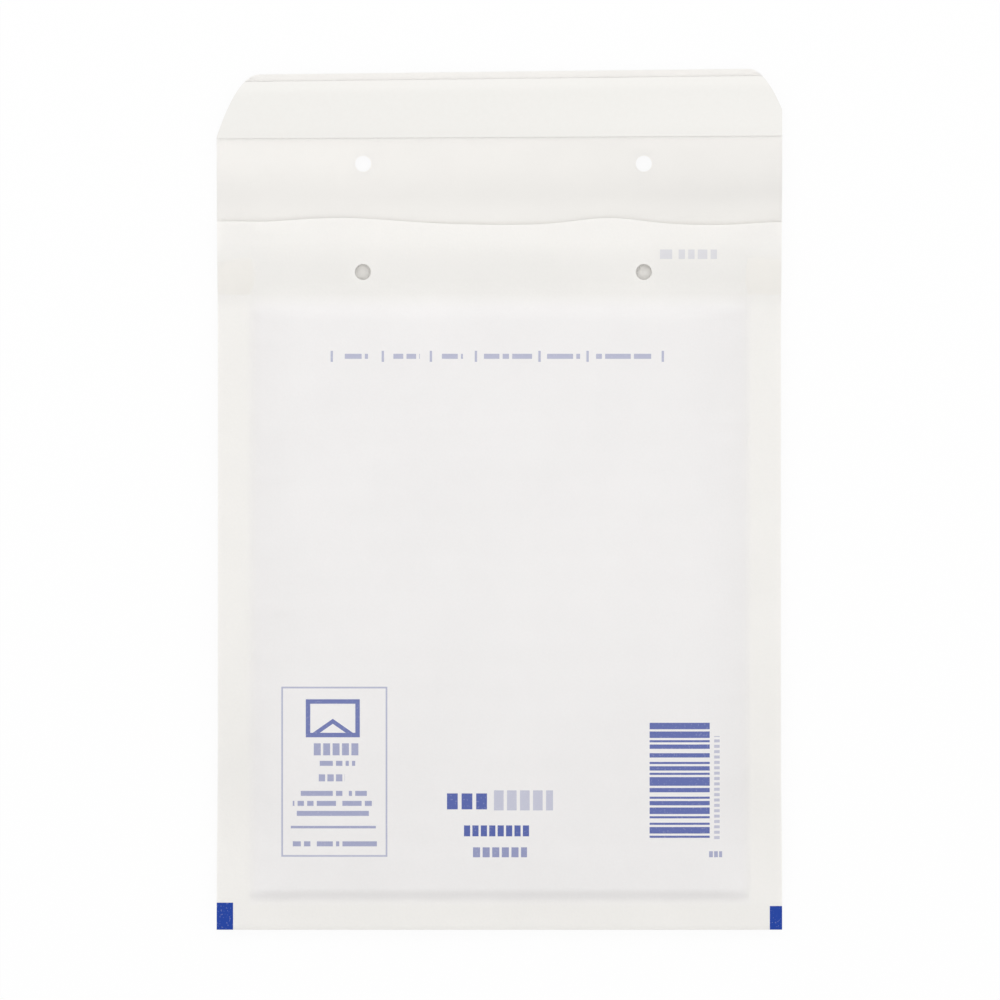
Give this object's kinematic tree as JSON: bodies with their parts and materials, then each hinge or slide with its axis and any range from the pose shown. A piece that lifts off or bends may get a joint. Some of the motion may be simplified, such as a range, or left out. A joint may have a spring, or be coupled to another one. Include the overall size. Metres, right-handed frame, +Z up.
{
  "type": "padded envelope",
  "caption": "White paper mailing envelope lined with bubble film, lying on its back with the self-seal flap open and punched for paper fasteners.",
  "frame": {"origin": "middle of the outline, on the surface that the back panel lies on", "axes": "+Z up through the front panel, +Y from the bottom fold to the open flap, +X to the right as the front is read"},
  "size_m": [0.17, 0.258, 0.0101],
  "materials": {
    "paper": "matte white kraft paper",
    "film": "clear bubble film",
    "adhesive": "tacky satin",
    "release": "smooth silicone-coated paper"
  },
  "bodies": {
    "root": {"paper_envelope": "paper", "bubble_liner": "film", "adhesive_strip": "adhesive", "release_liner": "release"}
  },
  "joints": []
}
